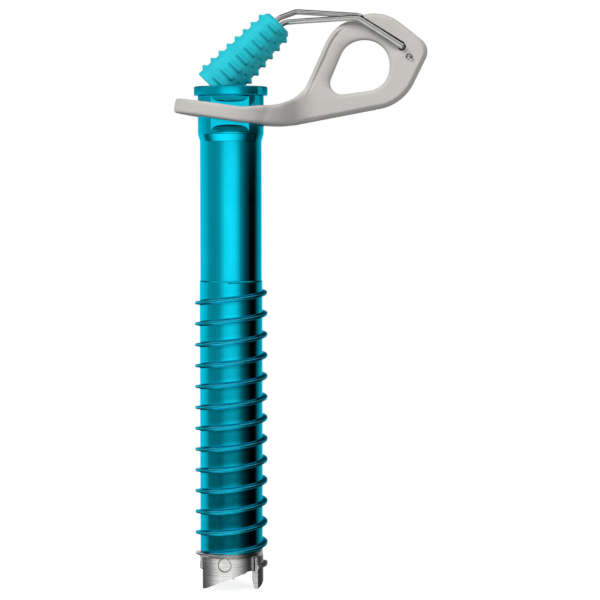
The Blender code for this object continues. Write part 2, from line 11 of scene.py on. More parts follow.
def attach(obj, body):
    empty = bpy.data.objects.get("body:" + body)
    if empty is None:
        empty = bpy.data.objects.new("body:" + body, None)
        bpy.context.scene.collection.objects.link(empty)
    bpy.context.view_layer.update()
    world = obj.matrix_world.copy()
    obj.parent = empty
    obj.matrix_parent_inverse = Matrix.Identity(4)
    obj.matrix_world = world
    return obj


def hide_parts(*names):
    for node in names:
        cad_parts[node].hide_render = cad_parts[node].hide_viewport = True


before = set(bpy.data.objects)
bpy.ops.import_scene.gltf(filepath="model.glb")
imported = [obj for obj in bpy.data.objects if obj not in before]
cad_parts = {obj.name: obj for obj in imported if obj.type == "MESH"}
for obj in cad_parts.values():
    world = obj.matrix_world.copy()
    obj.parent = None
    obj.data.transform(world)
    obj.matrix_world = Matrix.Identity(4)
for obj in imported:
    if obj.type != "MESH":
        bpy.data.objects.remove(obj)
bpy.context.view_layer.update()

MM = 0.001
AROUND = 2 * pi

# Sizes shared with the frame
GAP = 0.3  # clearance between pieces that sit on one another
TUBE_RADIUS, BORE_RADIUS, ROOT_RADIUS = 9.8, 8.0, 10.0
THREAD_PITCH, THREAD_START_ANGLE, THREAD_START_Z, THREAD_TOP = 6.7, radians(57), 6.87, 98.2
THREAD_HEIGHT, THREAD_TURNS, THREAD_FADE_TURNS = 1.6, 14.7, 0.5
SHOULDER, SKIN_BOTTOM = 12.16, 12.2  # lower ends of the tube's outside and of its thread
NECK_RADIUS, NECK_BOTTOM, NECK_TAPER = 10.47, 145.0, 2.3
FLAT_DISTANCE, FLAT_LENGTH, FLAT_DROP, FLAT_CENTRE = 8.58, 7.0, 1.9, 151.4
FLANGE_UNDERSIDE, SCREW_LENGTH, FLANGE_RADIUS, MOUTH_RADIUS = 157.1, 160.0, 11.7, 10.95
COLLAR_BORE = 9.7
MOUTH_ROOM = 0.22  # lets the knob dip into the mouth when the hanger lies level
CROWN_TOP, CROWN_RADIUS, SPIGOT_RADIUS, SPIGOT_BOTTOM = 11.85, 10.2, 8.85, 5.9
TOOTH_COUNT, FIRST_TIP_ANGLE, RAMP_ANGLE, RAMP_RISE = 3, radians(-63), radians(86), 5.5
TOOTH_ANGLE, TOOTH_CORNER, GULLET_TOP = radians(99), 3.2, 11.2
PIN_RADIUS, PIN_HEIGHT, PIN_ANGLE = 2.05, 8.4, radians(-11)
RING_RADIUS, RING_THICKNESS, RING_TILT = 18.0, 4.6, radians(8.6)
RING_END, RING_PLAY = 13.4, 0.45  # where the ring meets the arm, and its play round the neck
PLATE_THICKNESS = 5.0
WIRE_RADIUS, LEG_OFFSET = 0.85, 3.65
PIVOT = Vector((56.5, 0, 169.3))
GRIP_START, GRIP_SLOPE, GRIP_LENGTH = Vector((15.25, 0, 180.15)), radians(45.4), 29.4
GRIP_AXIS = Vector((-cos(GRIP_SLOPE), 0, -sin(GRIP_SLOPE)))
GRIP_SMALL, GRIP_LARGE = 4.95, 6.9
RIB_COUNT, RIB_FIRST, RIB_PITCH, RIB_HEIGHT = 8, 2.6, 3.4, 1.03
CAP_THICKNESS = 1.2


# ---------------------------------------------------------------- mesh helpers
def polar(radius, angle, height):
    return Vector((radius * sin(angle), -radius * cos(angle), height))


def add_mesh(name, points, faces, recalculate=True):
    mesh = bpy.data.meshes.new(name)
    mesh.from_pydata([tuple(point * MM) for point in points], [], faces)
    if recalculate:
        work = bmesh.new()
        work.from_mesh(mesh)
        bmesh.ops.recalc_face_normals(work, faces=work.faces)
        work.to_mesh(mesh)
        work.free()
    made = bpy.data.objects.new(name, mesh)
    bpy.context.scene.collection.objects.link(made)
    return made


def loft(name, rings, closed=False, twisted=False):
    """Skin over rings of points. Closed joins the last to the first, twisted makes triangles."""
    count = len(rings[0])
    points = [point for ring in rings for point in ring]
    faces = []
    for row in range(len(rings) if closed else len(rings) - 1):
        here, there = row * count, (row + 1) % len(rings) * count
        for step in range(count):
            following = (step + 1) % count
            quad = (here + step, here + following, there + following, there + step)
            faces += [quad[:3], (quad[0], quad[2], quad[3])] if twisted else [quad]
    if not closed:
        last = (len(rings) - 1) * count
        faces += [tuple(range(count)), tuple(range(last, last + count))]
    return add_mesh(name, points, faces)


def turned(name, profile, steps=192):
    rings = [[polar(radius, AROUND * step / steps, height) for radius, height in profile]
             for step in range(steps)]
    return loft(name, rings, closed=True)


def disc_stack(name, profile, steps=192):
    return loft(name, [[polar(radius, AROUND * step / steps, height) for step in range(steps)]
                       for radius, height in profile])


def block(name, low, high):
    xs, ys, zs = zip(low, high)
    return loft(name, [[Vector((xs[0], ys[0], z)), Vector((xs[1], ys[0], z)),
                        Vector((xs[1], ys[1], z)), Vector((xs[0], ys[1], z))] for z in zs])


def in_fixed_order(work):
    """Sort a mesh by place, because cuts and extrusions leave another order in each run."""
    def key(place):
        return 10 * place.z / MM + atan2(place.y, place.x)

    work.verts.sort(key=lambda vert: key(vert.co))
    work.edges.sort(key=lambda edge: key((edge.verts[0].co + edge.verts[1].co) / 2))
    work.faces.sort(key=lambda face: key(face.calc_center_median()))


def combine(target, tool, operation):
    step = target.modifiers.new("step", "BOOLEAN")
    step.operation, step.solver, step.object = operation, "EXACT", tool
    apply_modifiers(target)
    bpy.data.objects.remove(tool, do_unlink=True)


def apply_modifiers(target):
    bpy.context.view_layer.update()
    graph = bpy.context.evaluated_depsgraph_get()
    result = bpy.data.meshes.new_from_object(target.evaluated_get(graph))
    target.modifiers.clear()
    target.data = result


def merge_into(target, other):
    """Put another object's mesh into the target's, as a shell of its own."""
    work = bmesh.new()
    work.from_mesh(target.data)
    work.from_mesh(other.data)
    work.to_mesh(target.data)
    work.free()
    bpy.data.objects.remove(other, do_unlink=True)


def finish(made, look, body, *nodes, slot=None, sharp=30):
    """Clean and shade a piece, and say what it rides on and which nodes it replaces."""
    work = bmesh.new()
    work.from_mesh(made.data)
    bmesh.ops.remove_doubles(work, verts=work.verts, dist=0.0000005)
    bmesh.ops.dissolve_degenerate(work, edges=work.edges, dist=0.0000005)
    work.to_mesh(made.data)
    work.free()
    made.data.shade_smooth()
    made.data.set_sharp_from_angle(angle=radians(sharp))
    made.modifiers.new("flat_faces_stay_flat", "WEIGHTED_NORMAL").keep_sharp = True
    apply_modifiers(made)
    made.data.materials.clear()
    made.data.materials.append(look)
    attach(made, body)
    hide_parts(*nodes)
    return made


def fillet(corners, closed, step=radians(4)):
    """Path through (place, radius) corners, each rounded to its radius."""
    places = [Vector(place) for place, _ in corners]
    path = []
    for index, (_, radius) in enumerate(corners):
        place = places[index]
        if radius == 0 or (not closed and index in (0, len(corners) - 1)):
            path.append(place)
            continue
        back = (places[index - 1] - place).normalized()
        ahead = (places[(index + 1) % len(corners)] - place).normalized()
        half = back.angle(ahead) / 2
        centre = place + (back + ahead).normalized() * radius / sin(half)
        first = place + back * radius / tan(half) - centre
        last = place + ahead * radius / tan(half) - centre
        sweep = pi - 2 * half
        count = max(1, ceil(sweep / step))
        for part in range(count + 1):
            share = part / count
            arm = first * sin((1 - share) * sweep) + last * sin(share * sweep)
            path.append(centre + arm / sin(sweep))
    return path


def grown(outline, distance):
    """Outline in the XZ plane moved outward."""
    area = sum(a.x * b.z - b.x * a.z for a, b in zip(outline, outline[1:] + outline[:1]))
    side = 1 if area > 0 else -1
    moved = []
    for index, point in enumerate(outline):
        before = (point - outline[index - 1]).normalized()
        after = (outline[(index + 1) % len(outline)] - point).normalized()
        along = (before + after).normalized()
        moved.append(point + Vector((along.z, 0, -along.x)) * side * distance)
    return moved


def slab(name, outline, layers):
    return loft(name, [[point + Vector((0, y, 0)) for point in grown(outline, growth)]
                       for y, growth in layers])


def cross_hole(name, centre, radius, near, far, steps=48):
    turns = [AROUND * k / steps for k in range(steps)]
    return loft(name, [[centre + Vector((radius * cos(turn), y, radius * sin(turn)))
                        for turn in turns] for y in (near, far)])


def tube_along(name, path, radius, sides=28):
    """Round wire along a path, with domed ends."""
    rings = []
    normal = Vector((0, 0, 1)).cross(path[1] - path[0])
    if normal.length < 0.1 * (path[1] - path[0]).length:
        normal = Vector((1, 0, 0))
    turns = [AROUND * k / sides for k in range(sides)]
    dome = [(sin(radians(a)) * 0.7 * radius, cos(radians(a)) * radius)
            for a in (15, 30, 45, 60, 72, 82)]
    for index, place in enumerate(path):
        before = (place - path[max(index - 1, 0)]).normalized()
        after = (path[min(index + 1, len(path) - 1)] - place).normalized()
        along = (before + after).normalized()
        normal = (normal - along * normal.dot(along)).normalized()
        other = along.cross(normal)
        sizes = [(0, radius)]
        if index == 0:
            sizes = [(-shift, size) for shift, size in reversed(dome)] + sizes
        if index == len(path) - 1:
            sizes += dome
        for shift, size in sizes:
            rings.append([place + along * shift + (normal * cos(turn) + other * sin(turn)) * size
                          for turn in turns])
    return loft(name, rings)


def ease(value, low, high):
    share = min(1.0, max(0.0, (value - low) / (high - low)))
    return share * share * (3 - 2 * share)


# ---------------------------------------------------------------- materials
class Look:
    """Node material with the mesh's place in millimetres as its coordinates."""

    def __init__(self, name, metallic, roughness, **constants):
        self.material = bpy.data.materials.new(name)
        self.material.use_nodes = True
        self.tree = self.material.node_tree
        self.shader = self.tree.nodes["Principled BSDF"]
        self.shader.inputs["Metallic"].default_value = metallic
        self.shader.inputs["Roughness"].default_value = roughness
        for socket, value in constants.items():
            self.shader.inputs[socket.replace("_", " ")].default_value = value
        scaled = self.node("ShaderNodeVectorMath", operation="SCALE")
        self.link(self.node("ShaderNodeTexCoord").outputs["Object"], scaled.inputs[0])
        scaled.inputs["Scale"].default_value = 1000.0
        self.place = scaled.outputs[0]
        self.normal = None

    def node(self, kind, **settings):
        made = self.tree.nodes.new(kind)
        for setting, value in settings.items():
            setattr(made, setting, value)
        return made

    def link(self, source, target):
        self.tree.links.new(source, target)

    def stretched(self, factors):
        made = self.node("ShaderNodeVectorMath", operation="MULTIPLY")
        self.link(self.place, made.inputs[0])
        made.inputs[1].default_value = factors
        return made.outputs[0]

    def noise(self, scale, detail=3.0, factors=(1, 1, 1), distortion=0.0):
        made = self.node("ShaderNodeTexNoise")
        made.inputs["Scale"].default_value = scale
        made.inputs["Detail"].default_value = detail
        made.inputs["Distortion"].default_value = distortion
        self.link(self.stretched(factors), made.inputs["Vector"])
        return made.outputs["Fac"]

    def ranged(self, source, low, high, from_low=0.3, from_high=0.7):
        made = self.node("ShaderNodeMapRange")
        self.link(source, made.inputs["Value"])
        made.inputs["From Min"].default_value = from_low
        made.inputs["From Max"].default_value = from_high
        made.inputs["To Min"].default_value = low
        made.inputs["To Max"].default_value = high
        return made.outputs[0]

    def mixed(self, factor, first, second):
        made = self.node("ShaderNodeMix", data_type="RGBA")
        self.link(factor, made.inputs["Factor"])
        for socket, value in ((made.inputs[6], first), (made.inputs[7], second)):
            if isinstance(value, tuple):
                socket.default_value = (*value, 1.0)
            else:
                self.link(value, socket)
        return made.outputs[2]

    def math(self, operation, first, second):
        made = self.node("ShaderNodeMath", operation=operation)
        for socket, value in zip(made.inputs, (first, second)):
            if isinstance(value, (int, float)):
                socket.default_value = value
            else:
                self.link(value, socket)
        return made.outputs[0]

    def bump(self, height, distance, strength=1.0):
        """Relief of a distance in millimetres, on top of what was there."""
        made = self.node("ShaderNodeBump")
        made.inputs["Distance"].default_value = distance * MM
        made.inputs["Strength"].default_value = strength
        self.link(height, made.inputs["Height"])
        if self.normal:
            self.link(self.normal, made.inputs["Normal"])
        self.normal = made.outputs[0]
        self.link(self.normal, self.shader.inputs["Normal"])

    def colour(self, source):
        self.link(source, self.shader.inputs["Base Color"])

    def roughness(self, source):
        self.link(source, self.shader.inputs["Roughness"])

    def height(self):
        made = self.node("ShaderNodeSeparateXYZ")
        self.link(self.place, made.inputs[0])
        return made.outputs["Z"]


def anodised_look():
    look = Look("turquoise_anodised", 1.0, 0.2, Specular_Tint=(0.05, 0.80, 0.95, 1.0))
    cloud = look.noise(0.09, 2.0)
    lines = look.noise(2.4, 2.0, (0.02, 0.02, 1.0))
    threaded = look.ranged(look.height(), 1.0, 0.0, THREAD_TOP + 0.1, THREAD_TOP + 0.7)
    length = look.node("ShaderNodeVectorMath", operation="LENGTH")
    look.link(look.stretched((1, 1, 0)), length.inputs[0])
    arm, crest = length.outputs["Value"], ROOT_RADIUS + THREAD_HEIGHT
    # The film is worn thin, and shown lighter and rougher, on the rounded edges of the thread's
    # crest: partly real wear, partly a painted highlight that keeps these edges light where the
    # reflection is dark
    worn_and_highlight = look.math("MULTIPLY", look.ranged(arm, 0.0, 1.0, crest - 0.42, crest - 0.30),
                     look.ranged(arm, 1.0, 0.0, crest - 0.08, crest - 0.03))
    worn_and_highlight = look.math("MULTIPLY", worn_and_highlight, threaded)
    worn_and_highlight = look.math("MULTIPLY", worn_and_highlight, look.ranged(look.noise(0.5, 3.0), 0.35, 0.9))
    film = look.mixed(look.ranged(cloud, 0, 1), (0.002, 0.530, 0.715), (0.004, 0.575, 0.765))
    # Lighter turquoise on the crest edges: painted highlight lines together with the worn film
    look.colour(look.mixed(worn_and_highlight, film, (0.16, 0.72, 0.84)))
    smear = look.ranged(look.noise(0.6, 3.0), 0.105, 0.14)
    smear = look.math("ADD", smear, look.math("MULTIPLY", worn_and_highlight, 0.45))
    look.roughness(look.math("ADD", smear, look.math("MULTIPLY", threaded, 0.02)))
    look.bump(lines, 0.0022)
    return look.material


def steel_look(name, base, roughness):
    """Turned metal: lines round the axis, and a slight lean of the shading towards the floor."""
    look = Look(name, 1.0, roughness)
    cloud = look.noise(0.35, 4.0)
    lines = look.noise(3.2, 3.0, (0.03, 0.03, 1.0))
    darker = tuple(value * 0.86 for value in base)
    striped = tuple(value * 0.70 for value in base)
    colour = look.mixed(look.ranged(cloud, 0, 1), darker, base)
    look.colour(look.mixed(look.ranged(lines, 0.0, 1.0, 0.35, 0.62), colour, striped))
    look.bump(lines, 0.010)
    look.bump(look.height(), 0.085)
    look.roughness(look.ranged(look.noise(1.3, 3.0), roughness - 0.03, roughness + 0.04))
    return look.material


def forged_look(name, darker, lighter, pits):
    look = Look(name, 0.3, 0.5)
    cloud = look.noise(0.08, 3.0)
    grain = look.noise(5.5, 3.0)
    broad = look.mixed(look.ranged(cloud, 0, 1), darker, lighter)
    look.colour(look.mixed(look.ranged(grain, 0.0, 0.35), broad, pits))
    look.roughness(look.ranged(look.noise(2.2, 3.0), 0.46, 0.60))
    look.bump(grain, 0.035)
    look.bump(look.noise(1.1, 2.0), 0.030)
    return look.material


def wire_look():
    look = Look("spring_wire", 1.0, 0.14)
    cloud = look.noise(0.5, 3.0)
    look.colour(look.mixed(look.ranged(cloud, 0, 1), (0.54, 0.54, 0.535), (0.62, 0.62, 0.615)))
    look.roughness(look.ranged(look.noise(3.0, 3.0), 0.12, 0.18))
    look.bump(look.noise(4.0, 2.0), 0.0008)
    return look.material


def plastic_look():
    look = Look("turquoise_plastic", 0.0, 0.42, Specular_IOR_Level=0.3)
    cloud = look.noise(0.25, 3.0)
    look.colour(look.mixed(look.ranged(cloud, 0, 1), (0.008, 0.345, 0.405), (0.011, 0.385, 0.455)))
    look.roughness(look.ranged(look.noise(2.0, 3.0), 0.38, 0.50))
    look.bump(look.noise(6.0, 3.0), 0.012)
    return look.material


anodised = anodised_look()
crown_steel = steel_look("crown_steel", (0.88, 0.88, 0.87), 0.22)
pin_steel = steel_look("pin_steel", (0.84, 0.84, 0.83), 0.24)
bare = steel_look("machined_aluminium", (0.62, 0.62, 0.61), 0.30)
forged = forged_look("blasted_aluminium", (0.500, 0.486, 0.462), (0.548, 0.533, 0.508),
                     (0.40, 0.39, 0.37))
# Near-black copy of the forged material for the wire's groove and pocket: painted shade that stands
# for the shadow in the slot
painted_groove_shade = forged_look("painted_groove_shadow", (0.050, 0.049, 0.047), (0.105, 0.101, 0.095),
                     (0.025, 0.025, 0.025))
spring = wire_look()
plastic = plastic_look()


# ---------------------------------------------------------------- screw tube
def thread_section():
    """(height from the ridge's middle, share of the ridge's height) over one pitch."""
    half = [(0.0, 1.0), (0.14, 0.996), (0.26, 0.982), (0.34, 0.955), (0.41, 0.90), (0.46, 0.82),
            (0.52, 0.68), (0.59, 0.48), (0.65, 0.30), (0.70, 0.17), (0.76, 0.075), (0.84, 0.02),
            (0.95, 0.0), (2.2, 0.0), (THREAD_PITCH / 2, 0.0)]
    return [(-dz, share) for dz, share in reversed(half[1:])] + half


def thread_skin(steps=128):
    """Outer skin of the threaded part, clipped to two heights, with its edges turned inward."""
    low, high = SKIN_BOTTOM, THREAD_TOP
    last_ridge = (THREAD_TOP - 0.75 - THREAD_START_Z) / THREAD_PITCH
    section = thread_section()
    points, faces = [], []
    count = round(THREAD_TURNS * steps)
    for step in range(count + 1):
        turn = step / steps
        share = ease(last_ridge - turn, 0.0, THREAD_FADE_TURNS)
        angle = THREAD_START_ANGLE + AROUND * turn
        height = THREAD_START_Z + THREAD_PITCH * turn
        for dz, rise in section:
            points.append(polar(ROOT_RADIUS + THREAD_HEIGHT * rise * share, angle, height + dz))
    width = len(section)
    for step in range(count):
        for k in range(width - 1):
            here = step * width + k
            faces.append((here, here + width, here + width + 1, here + 1))
    made = add_mesh("tube_thread", points, faces, recalculate=False)
    work = bmesh.new()
    work.from_mesh(made.data)
    bmesh.ops.remove_doubles(work, verts=work.verts, dist=0.000002)
    for height, side in ((low, -1), (high, 1)):
        everything = work.verts[:] + work.edges[:] + work.faces[:]
        bmesh.ops.bisect_plane(work, geom=everything, dist=0.000001, plane_co=(0, 0, height * MM),
                               plane_no=(0, 0, side), clear_outer=True)
    low_rings = [(ROOT_RADIUS - 0.1, low - 0.05), (9.3, low - 0.05)]
    high_rings = [(ROOT_RADIUS - 0.06, high + 0.16), (TUBE_RADIUS - 0.06, high + 0.46)]
    for height, rings in ((low, low_rings), (high, high_rings)):
        edges = [edge for edge in work.edges if edge.is_boundary
                 and all(abs(vert.co.z - height * MM) < 0.00002 for vert in edge.verts)]
        for radius, level in rings:
            out = bmesh.ops.extrude_edge_only(work, edges=edges)["geom"]
            edges = [item for item in out if isinstance(item, bmesh.types.BMEdge)]
            for vert in {vert for edge in edges for vert in edge.verts}:
                arm = hypot(vert.co.x, vert.co.y)
                vert.co = Vector((vert.co.x / arm * radius * MM, vert.co.y / arm * radius * MM,
                                  level * MM))
    in_fixed_order(work)
    bmesh.ops.recalc_face_normals(work, faces=work.faces)
    work.to_mesh(made.data)
    work.free()
    return made


def flats_cutter():
    """Two slabs less the cones that round off the flats' ends."""
    half, far = FLAT_LENGTH / 2, NECK_RADIUS + 4.0
    low, high = FLAT_CENTRE - half - 8.0, FLAT_CENTRE + half + 8.0
    depth = NECK_RADIUS - FLAT_DISTANCE
    run_out = [(FLAT_DISTANCE - 0.2, -0.1), (FLAT_DISTANCE, 0.0),
               (FLAT_DISTANCE + 0.48 * depth, 0.18 * FLAT_DROP),
               (FLAT_DISTANCE + 0.80 * depth, 0.50 * FLAT_DROP),
               (NECK_RADIUS, FLAT_DROP), (far, FLAT_DROP + 0.05)]
    cutter = block("front_flat", (-far, -far, low + 1), (far, -FLAT_DISTANCE, high - 1))
    back = block("back_flat", (-far, FLAT_DISTANCE, low + 1), (far, far, high - 1))
    combine(cutter, back, "UNION")
    profile = [(far, low)]
    profile += [(radius, FLAT_CENTRE - half - drop) for radius, drop in reversed(run_out)]
    profile += [(radius, FLAT_CENTRE + half + drop) for radius, drop in run_out]
    profile += [(far, high)]
    combine(cutter, disc_stack("flat_cones", profile), "DIFFERENCE")
    return cutter


def screw_tube():
    lip = COLLAR_BORE - GAP
    hidden = ROOT_RADIUS - 0.5  # the thread's skin covers it
    taper_start, seam = NECK_BOTTOM - NECK_TAPER, FLANGE_UNDERSIDE - 0.02
    mouth = SCREW_LENGTH - (MOUTH_RADIUS - lip) - GAP - MOUTH_ROOM
    profile = [(BORE_RADIUS, SPIGOT_BOTTOM), (SPIGOT_RADIUS, SPIGOT_BOTTOM),
               (SPIGOT_RADIUS, SHOULDER), (hidden, SHOULDER), (hidden, THREAD_TOP + 0.1),
               (TUBE_RADIUS - 0.02, THREAD_TOP + 0.4), (TUBE_RADIUS, THREAD_TOP + 0.6),
               (TUBE_RADIUS, taper_start - 0.15), (TUBE_RADIUS + 0.02, taper_start + 0.1),
               (NECK_RADIUS - 0.03, NECK_BOTTOM - 0.1), (NECK_RADIUS, NECK_BOTTOM + 0.1),
               (NECK_RADIUS, FLANGE_UNDERSIDE - 0.14), (NECK_RADIUS - 0.12, seam),
               (lip, seam), (lip, mouth), (lip - 0.4, mouth),
               (BORE_RADIUS, SCREW_LENGTH - (MOUTH_RADIUS - BORE_RADIUS) - MOUTH_ROOM)]
    tube = turned("tube", profile)
    combine(tube, flats_cutter(), "DIFFERENCE")
    merge_into(tube, thread_skin())
    finish(tube, anodised, "screw", "screw_tube", slot="anodised")
    tube.data.materials.append(bare)
    for face in tube.data.polygons:
        middle = face.center / MM
        if middle.z < SHOULDER + 0.01 and hypot(middle.x, middle.y) < SPIGOT_RADIUS + 0.35:
            face.material_index = 1


def head_collar():
    edge = 0.4
    rounded = [(cos(radians(a)), sin(radians(a))) for a in (-90, -60, -30, 0)]
    profile = [(COLLAR_BORE, FLANGE_UNDERSIDE)]
    profile += [(FLANGE_RADIUS - edge + edge * c, FLANGE_UNDERSIDE + edge + edge * s)
                for c, s in rounded]
    profile += [(FLANGE_RADIUS - edge + edge * c, SCREW_LENGTH - edge - edge * s)
                for c, s in reversed(rounded)]
    profile += [(MOUTH_RADIUS + 0.12, SCREW_LENGTH), (MOUTH_RADIUS, SCREW_LENGTH - 0.06),
                (COLLAR_BORE, SCREW_LENGTH - (MOUTH_RADIUS - COLLAR_BORE))]
    finish(turned("collar", profile), anodised, "screw", "head_collar", slot="anodised")


# ---------------------------------------------------------------- steel crown
def crown_ridge(steps=96):
    """The thread's first turn, which rises quickly from its start."""
    foot, root = ROOT_RADIUS - 0.6, ROOT_RADIUS - 0.05
    section = [(dz, rise) for dz, rise in thread_section() if abs(dz) < 1.1]
    rings = []
    for step in range(round(1.25 * steps) + 1):
        turn = step / steps
        share = min(1.0, 0.35 + 0.65 * turn / 0.06)
        angle = THREAD_START_ANGLE + AROUND * turn
        height = THREAD_START_Z + THREAD_PITCH * turn
        ring = [polar(foot, angle, height - 1.3)]
        ring += [polar(root + (THREAD_HEIGHT + 0.05) * rise * share, angle, height + dz)
                 for dz, rise in section]
        ring.append(polar(foot, angle, height + 1.3))
        rings.append(ring)
    return loft("crown_ridge", rings, twisted=True)


def tooth_spaces():
    """Ring-shaped cutter whose top is the outline of the ramps, tooth flanks and gullets."""
    inner, outer = BORE_RADIUS - 1, CROWN_RADIUS + THREAD_HEIGHT + 1
    pitch = AROUND / TOOTH_COUNT
    slot = (pitch - TOOTH_ANGLE) / 2
    round_height = slot * CROWN_RADIUS
    columns = [(RAMP_ANGLE * part / 24, RAMP_RISE * part / 24) for part in range(25)]
    for part in range(1, 13):
        turn = pi / 2 * part / 12
        columns.append((RAMP_ANGLE + (TOOTH_ANGLE - RAMP_ANGLE) * sin(turn),
                        RAMP_RISE + TOOTH_CORNER * (1 - cos(turn))))
    for part in range(25):
        turn = pi - pi * part / 24
        columns.append((TOOTH_ANGLE + slot + (slot - radians(0.4)) * cos(turn),
                        GULLET_TOP - round_height * (1 - sin(turn))))
    rings = []
    for index in range(TOOTH_COUNT):
        for shift, height in columns:
            angle = FIRST_TIP_ANGLE + pitch * index + shift
            rings.append([polar(inner, angle, -2), polar(outer, angle, -2),
                          polar(outer, angle, height), polar(inner, angle, height)])
    return loft("tooth_spaces", rings, closed=True, twisted=True)


def pin_cylinder(name, index, stations, steps=64):
    """Round shape along a pin's axis through (distance from the tube's axis, radius) stations."""
    outward = polar(1, PIN_ANGLE + AROUND * index / TOOTH_COUNT, 0)
    sideways = Vector((0, 0, 1)).cross(outward)
    turns = [AROUND * k / steps for k in range(steps)]
    return loft(name, [[outward * distance + Vector((0, 0, PIN_HEIGHT))
                        + sideways * radius * cos(turn) + Vector((0, 0, radius * sin(turn)))
                        for turn in turns] for distance, radius in stations])


def cutting_crown():
    profile = [(BORE_RADIUS, -1), (CROWN_RADIUS, -1), (CROWN_RADIUS, CROWN_TOP - 1.6),
               (CROWN_RADIUS - 0.03, CROWN_TOP - 1.3), (ROOT_RADIUS + 0.04, CROWN_TOP - 0.15),
               (ROOT_RADIUS - 0.1, CROWN_TOP), (BORE_RADIUS, CROWN_TOP)]
    crown = turned("crown", profile, 160)
    ridge = crown_ridge()
    combine(ridge, block("above", (-30, -30, CROWN_TOP - 0.01), (30, 30, 40)), "DIFFERENCE")
    combine(crown, ridge, "UNION")
    combine(crown, tooth_spaces(), "DIFFERENCE")
    reach, hole = SPIGOT_RADIUS + GAP, PIN_RADIUS + 0.16
    socket = disc_stack("socket", [(reach, SPIGOT_BOTTOM - GAP), (reach, CROWN_TOP + 1)], 160)
    combine(crown, socket, "DIFFERENCE")
    bevel = disc_stack("bevel", [(BORE_RADIUS + 1.2, -1.5), (BORE_RADIUS - 0.1, 3.3)], 160)
    combine(crown, bevel, "DIFFERENCE")
    for index in range(TOOTH_COUNT):
        stations = [(BORE_RADIUS - 1, hole), (CROWN_RADIUS + 3, hole)]
        combine(crown, pin_cylinder("hole", index, stations), "DIFFERENCE")
    finish(crown, crown_steel, "screw", "cutting_crown", slot="crown_steel")


def crown_pins():
    near, far, lift = BORE_RADIUS + 0.2, CROWN_RADIUS - 0.28, 0.07
    stations = [(near, PIN_RADIUS - 0.1), (near + 0.1, PIN_RADIUS), (far - 0.18, PIN_RADIUS),
                (far - 0.05, PIN_RADIUS - 0.06), (far, PIN_RADIUS - 0.2)]
    for index in range(TOOTH_COUNT):
        pin = pin_cylinder(f"pin_{index + 1}", index, stations)
        pin.data.transform(Matrix.Translation(Vector((0, 0, lift)) * MM))
        finish(pin, pin_steel, "screw", f"crown_pin_{index + 1}", slot="crown_steel")


# ---------------------------------------------------------------- hanger
# Corners are ((x, z), rounding radius)
PLATE_CORNERS = [((12.6, 147.9), 0), ((19.4, 147.6), 15), ((54.8, 154.4), 15), ((63.6, 172.4), 4.8),
                 ((47.4, 185.1), 13.5), ((32.3, 178.7), 13.5), ((20.6, 152.6), 9.5),
                 ((12.6, 153.0), 0)]
EYE_CORNERS = [((29.4, 156.7), 3.6), ((50.5, 159.6), 7.6), ((50.4, 175.1), 7.7),
               ((36.9, 174.5), 7.6)]
# Stations from the ring to the plate: (x, half width, bottom, top)
THROAT = [(10.0, 14.7, 147.9, 153.7), (12.6, 13.4, 147.7, 153.9), (15.0, 11.7, 147.6, 154.2),
          (17.0, 9.9, 147.6, 154.9), (19.0, 7.3, 147.8, 155.7), (21.0, 4.8, 148.1, 157.0),
          (24.5, 3.0, 149.0, 160.2), (28.0, 2.4, 149.8, 162.5)]
# Front wire leg, from its bend to its end in the pocket
LEG_BEND, LEG_END, GROOVE_FLOOR = Vector((40.0, 0, 181.6)), Vector((54.2, 0, 172.55)), -0.8
LEG_LENGTH, LEG_ALONG = (LEG_END - LEG_BEND).length, (LEG_END - LEG_BEND).normalized()
LEG_OUTWARD = Vector((-LEG_ALONG.z, 0, LEG_ALONG.x))


def outline_of(corners):
    return fillet([(Vector((x, 0, z)), radius) for (x, z), radius in corners], closed=True)


def on_neck(made):
    """Move a piece made flat at the origin to the ring's tilted place."""
    made.data.transform(Matrix.Rotation(RING_TILT, 4, "Y"))
    made.data.transform(Matrix.Translation(Vector((0, 0, FLAT_CENTRE)) * MM))
    return made


def hanger_ring(steps=144):
    """Flat ring with rounded rims, whose two faces rise towards the arm by lifts of their own."""
    half, rim, lift_low, lift_high = RING_THICKNESS / 2, 0.9, 0.55, 2.1
    inner, middle = FLAT_DISTANCE - 2, RING_RADIUS - rim
    section = [(inner, -half, lift_low)]
    for start, level, lift in ((-90, -half + rim, lift_low), (0, half - rim, lift_high)):
        for angle in range(start, start + 91, 18):
            turn = radians(angle)
            section.append((middle + rim * cos(turn), level + rim * sin(turn), lift))
    section.append((inner, half, lift_high))
    rings = []
    for step in range(steps):
        ring = []
        for radius, height, lift in section:
            point = polar(radius, AROUND * step / steps, height)
            point.z += lift * ease(point.x, 2.0, RING_END)
            ring.append(point)
        rings.append(ring)
    ring = loft("ring", rings, closed=True, twisted=True)
    combine(ring, block("ring_end", (RING_END, -36, -36), (36, 36, 36)), "DIFFERENCE")
    return on_neck(ring)


def ring_hole():
    """Double-D hole that rides on the neck's flats."""
    radius = NECK_RADIUS + RING_PLAY + RING_THICKNESS / 2 * sin(RING_TILT)
    flat = FLAT_DISTANCE + RING_PLAY
    hole = disc_stack("hole", [(radius, -RING_THICKNESS), (radius, RING_THICKNESS)], 160)
    combine(hole, block("hole_flats", (-24, -flat, -12), (24, flat, 12)), "INTERSECT")
    return on_neck(hole)


def spline(stations, steps=5):
    """Smooth curve through tuples of numbers."""
    out = []
    for index in range(len(stations) - 1):
        a = stations[max(index - 1, 0)]
        b, c = stations[index], stations[index + 1]
        d = stations[min(index + 2, len(stations) - 1)]
        for part in range(steps):
            t = part / steps
            out.append(tuple(
                q + 0.5 * t * (r - p + t * (2 * p - 5 * q + 4 * r - s + t * (3 * (q - r) + s - p)))
                for p, q, r, s in zip(a, b, c, d)))
    return out + [stations[-1]]


